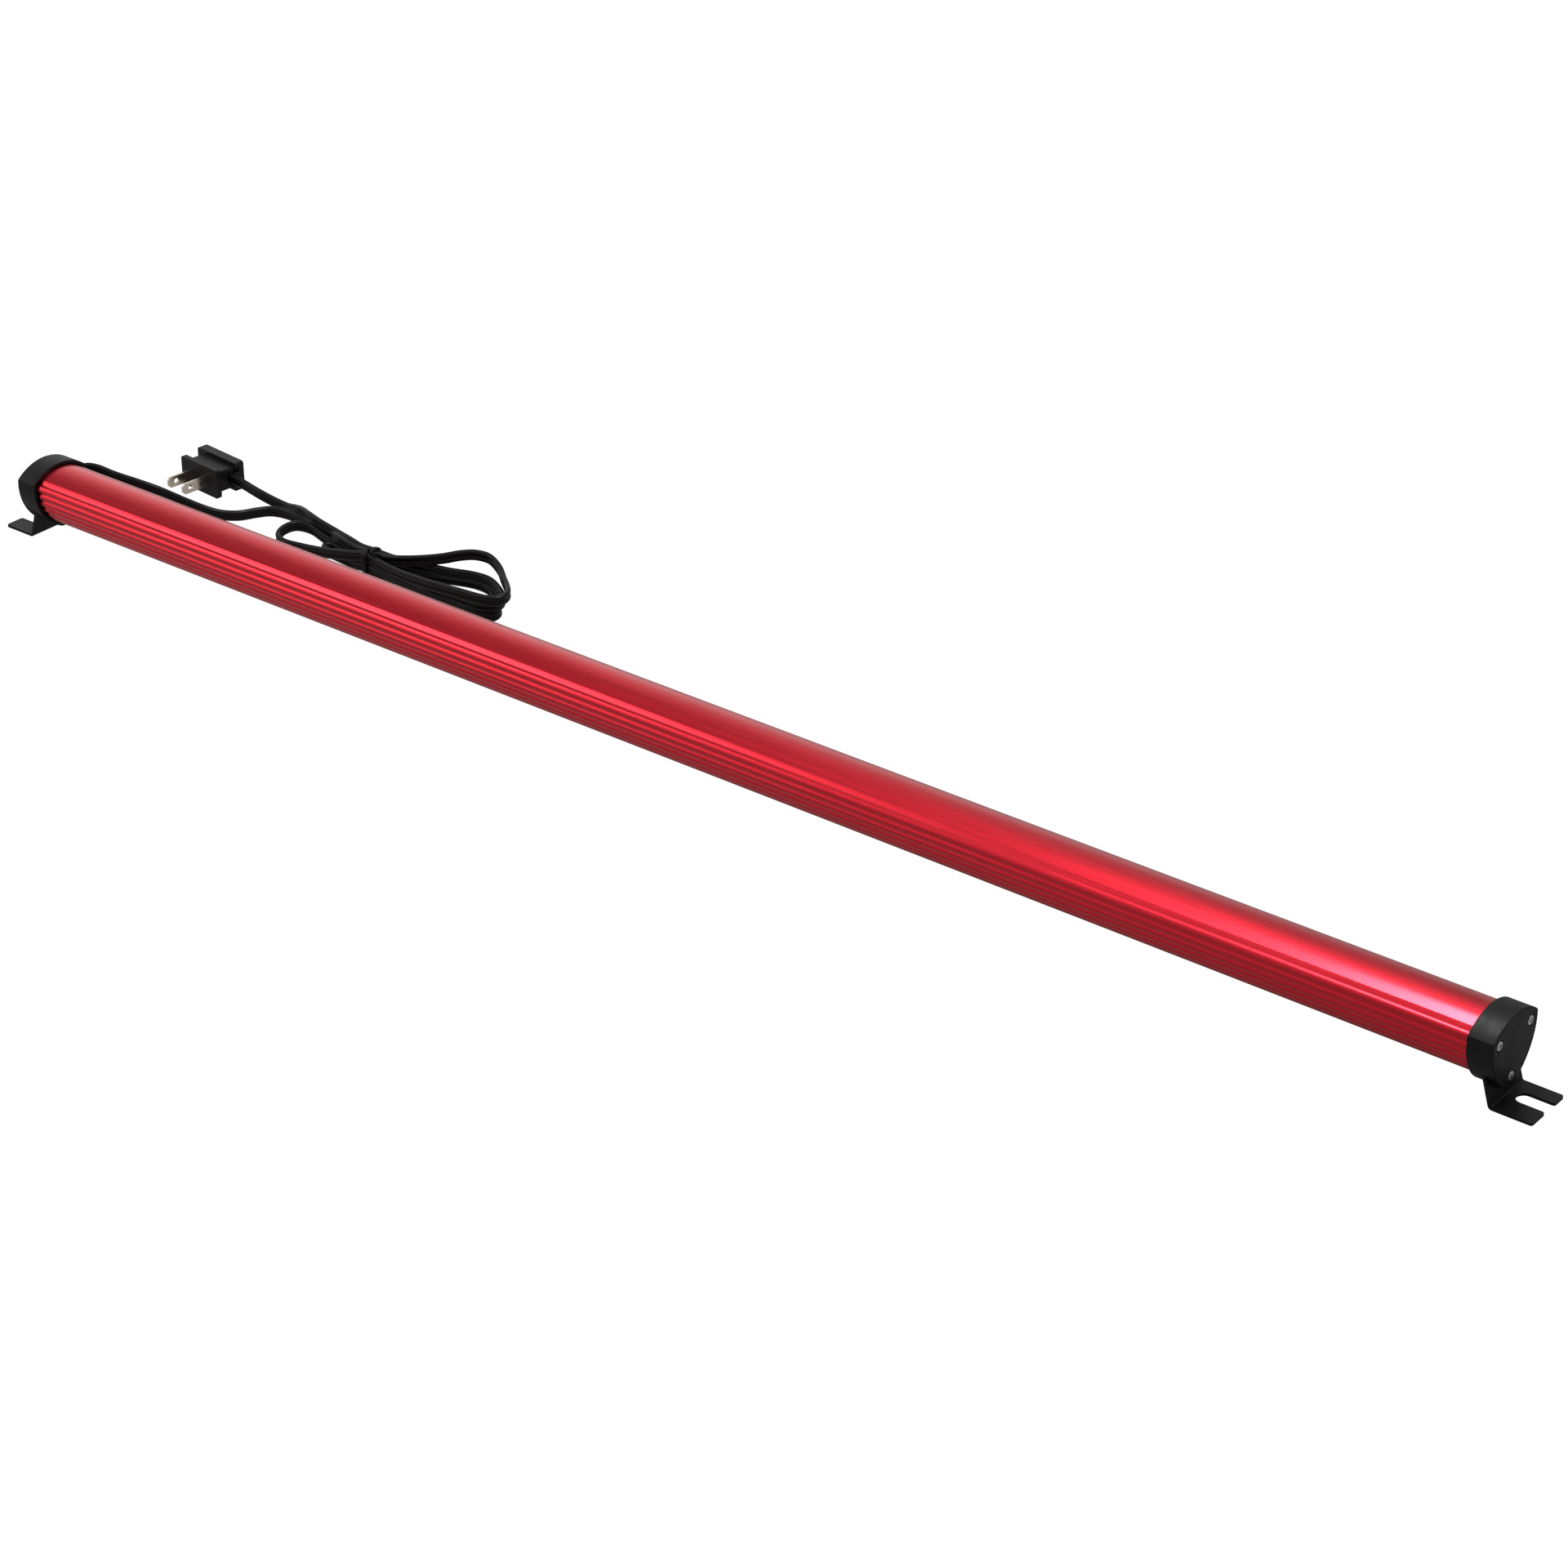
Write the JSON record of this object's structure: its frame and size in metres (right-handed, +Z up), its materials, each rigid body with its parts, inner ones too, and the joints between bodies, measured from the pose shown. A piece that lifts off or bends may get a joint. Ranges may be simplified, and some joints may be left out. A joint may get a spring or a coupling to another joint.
{
  "type": "electric dehumidifier heater rod",
  "caption": "Slim plug-in heater rod for a closed cabinet: ribbed red aluminium tube, black end caps, forked foot brackets, flat cord with a slide-on plug.",
  "frame": {"origin": "mid-length of the rod, on its centre plane, on the flat surface the feet rest on", "axes": "+X along the rod towards the plain end, +Y across the rod towards the cord side, +Z up"},
  "size_m": [0.9518, 0.1259, 0.0426],
  "materials": {
    "anodised_tube": "anodised, satin",
    "cap_plastic": "fine moulded grain",
    "bracket_paint": "satin black powder coat",
    "screw_steel": "bright zinc plated",
    "gasket_silicone": "matte",
    "heater_foil": "etched resistance foil",
    "mica_board": "matte",
    "wire_insulation": "matte",
    "bare_lead": "drawn wire",
    "crimp_metal": "tinned",
    "cutoff_can": "drawn can",
    "glass_sleeve": "braided",
    "grommet_rubber": "matte",
    "cord_pvc": "satin, ribbed twin cord",
    "tie_plastic": "ribbed",
    "plug_plastic": "moulded satin",
    "blade_metal": "nickel plated"
  },
  "bodies": {
    "heater": {"tube_extrusion": "anodised_tube", "end_cap_plain": "cap_plastic", "end_cap_cord": "cap_plastic", "bracket_plain_end": "bracket_paint", "bracket_cord_end": "bracket_paint", "cap_screws_plain_end": "screw_steel", "cap_screws_cord_end": "screw_steel", "end_gasket_plain": "gasket_silicone", "end_gasket_cord": "gasket_silicone", "heater_foil": "heater_foil", "heater_core": "mica_board", "upper_insulator": "mica_board", "lower_insulator": "mica_board", "pack_stops": "gasket_silicone", "lead_wires": "wire_insulation", "heater_leads": "bare_lead", "crimp_sleeves": "crimp_metal", "thermal_cutoff": "cutoff_can", "cutoff_sleeve": "glass_sleeve", "cord_grommet": "grommet_rubber", "power_cord": "cord_pvc", "twist_tie": "tie_plastic", "plug_body": "plug_plastic", "plug_blade_line": "blade_metal", "plug_blade_neutral": "blade_metal"},
    "plug_cover": {"plug_cover": "plug_plastic"}
  },
  "joints": [
    {"name": "plug_cover_slide", "type": "slide", "parent": "heater", "child": "plug_cover", "axis": [-0.9949, 0.1011, 0], "range_m": [0, 0.03]}
  ]
}
